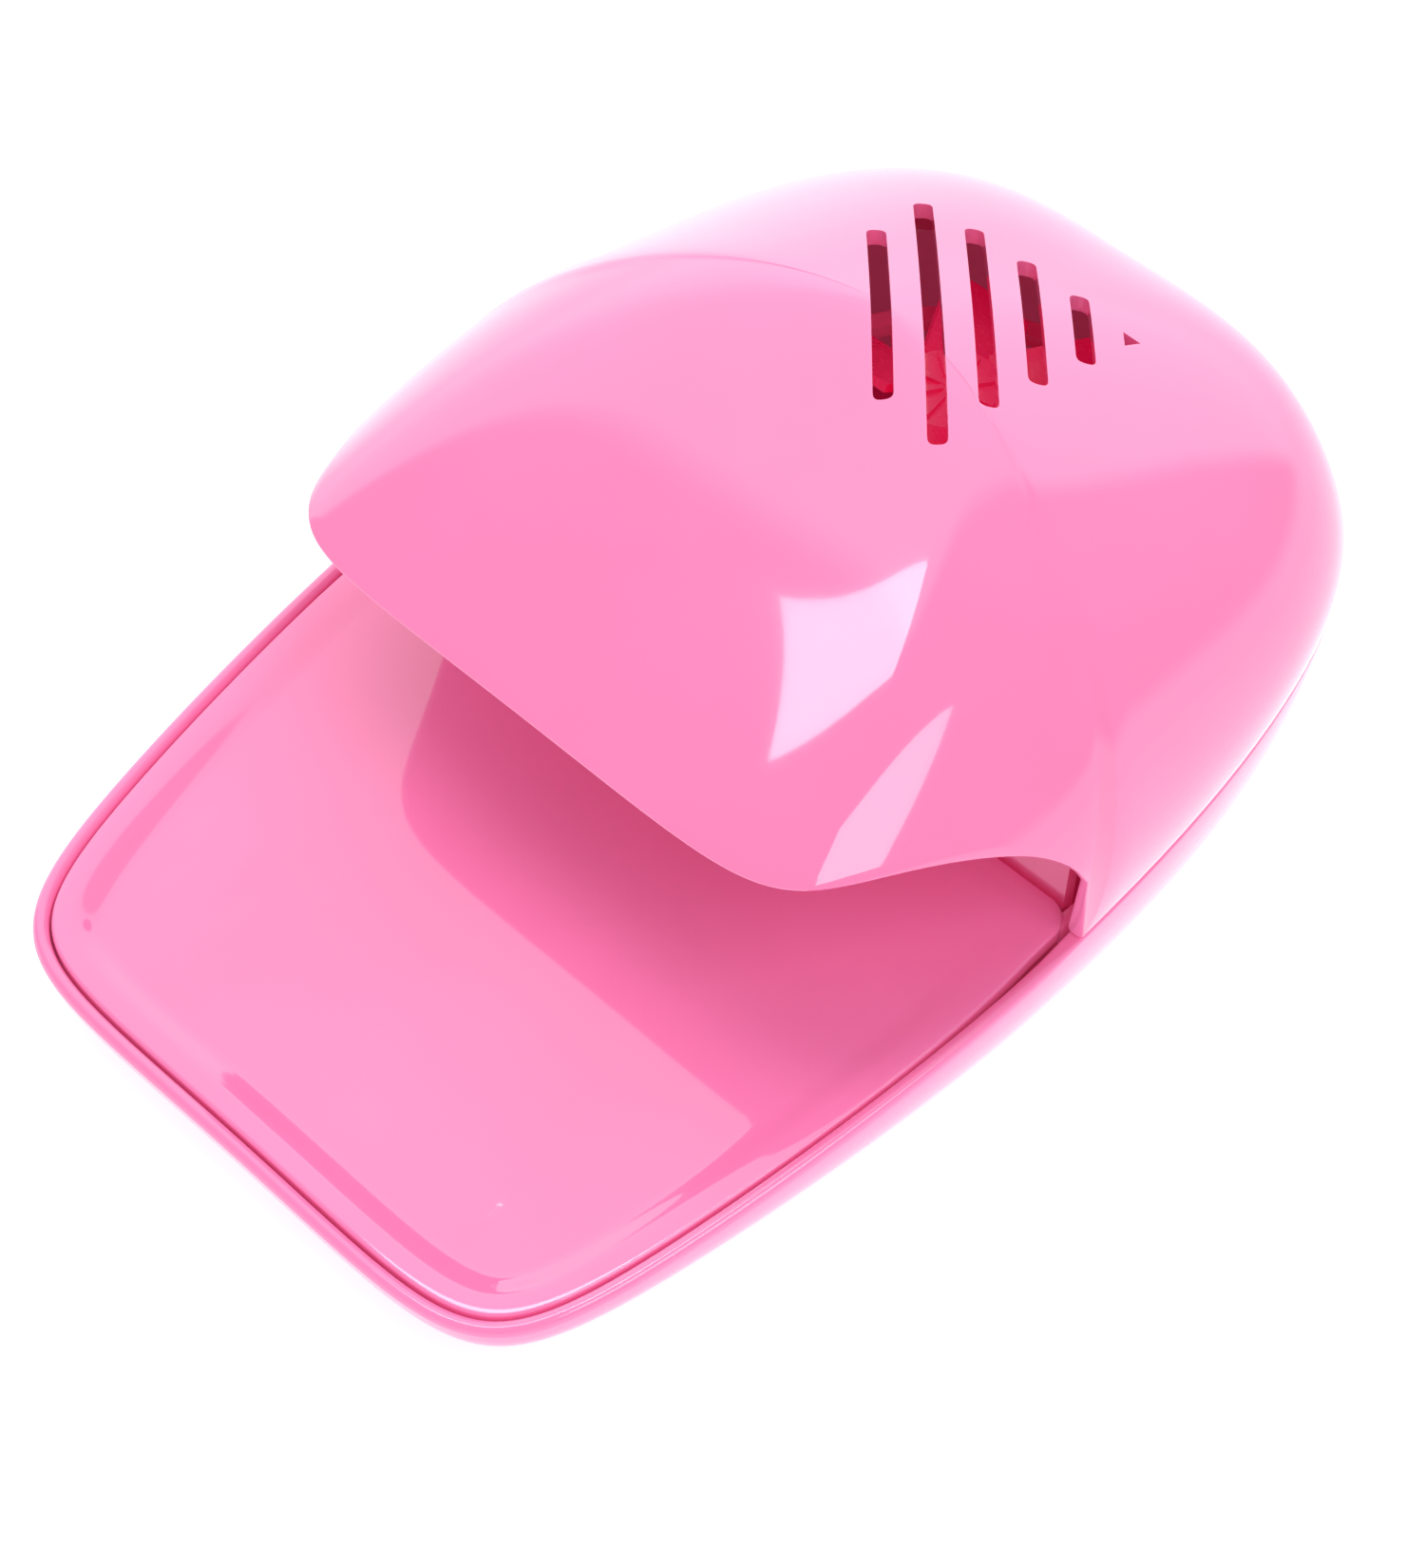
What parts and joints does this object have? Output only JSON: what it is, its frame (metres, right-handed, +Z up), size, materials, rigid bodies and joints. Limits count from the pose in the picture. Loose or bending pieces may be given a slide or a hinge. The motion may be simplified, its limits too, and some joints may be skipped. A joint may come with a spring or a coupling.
{
  "type": "nail dryer",
  "caption": "Battery-powered nail dryer with a wedge base, a press tray that starts a fan, and a domed hood with slanted air slots.",
  "frame": {"origin": "on the table under the middle of the body's length and width", "axes": "+X towards the user's right hand, -Y towards the tray end and the user, +Z up"},
  "size_m": [0.0978, 0.1381, 0.0598],
  "materials": {
    "pink_plastic": "high-gloss moulded pink plastic",
    "crimson_plastic": "deep pink moulded plastic",
    "black_plastic": "moulded black plastic",
    "cell_wrap": "shrink-wrapped sleeve",
    "steel": "plated steel",
    "brass": "stamped sheet",
    "rubber": "pale soft pad",
    "red_sleeve": "wire insulation",
    "black_sleeve": "wire insulation"
  },
  "bodies": {
    "base": {"base_shell": "pink_plastic", "hood_shell": "pink_plastic", "air_guide": "pink_plastic", "motor_can": "steel", "motor_end_cap": "black_plastic", "motor_bracket": "pink_plastic", "bracket_screws": "steel", "battery_front": "cell_wrap", "battery_rear": "cell_wrap", "negative_springs": "steel", "positive_contacts": "brass", "battery_link": "brass", "switch_block": "black_plastic", "switch_fixed_leaf": "brass", "switch_terminal": "brass", "tray_springs": "steel", "housing_screws": "steel", "rubber_feet": "rubber", "wire_red": "red_sleeve", "wire_black": "black_sleeve", "wire_link": "black_sleeve"},
    "tray": {"press_tray": "pink_plastic"},
    "fan": {"fan_wheel": "crimson_plastic", "motor_shaft": "steel"},
    "leaf": {"switch_moving_leaf": "brass"},
    "door": {"battery_door": "pink_plastic"}
  },
  "joints": [
    {"name": "tray_press", "type": "hinge", "parent": "base", "child": "tray", "pos_m": [0, 0.0092, 0.01711], "axis": [1, 0, 0], "range_deg": [0, 1.1], "stiffness_Nm_per_rad": 4, "springref_deg": -0.57, "deforming": ["tray_springs"]},
    {"name": "fan_spin", "type": "hinge", "parent": "base", "child": "fan", "pos_m": [0, 0.035, 0.039], "axis": [0, 0, 1], "continuous": true},
    {"name": "switch_leaf", "type": "hinge", "parent": "base", "child": "leaf", "pos_m": [0, -0.0186, 0.00705], "axis": [1, 0, 0], "range_deg": [0, 3.2], "stiffness_Nm_per_rad": 0.02},
    {"name": "battery_door_slide", "type": "slide", "parent": "base", "child": "door", "axis": [0, 1, 0], "range_m": [0, 0.045]}
  ],
  "couplings": [
    {"joint": "switch_leaf", "follows": "tray_press", "ratio": 2.511}
  ]
}
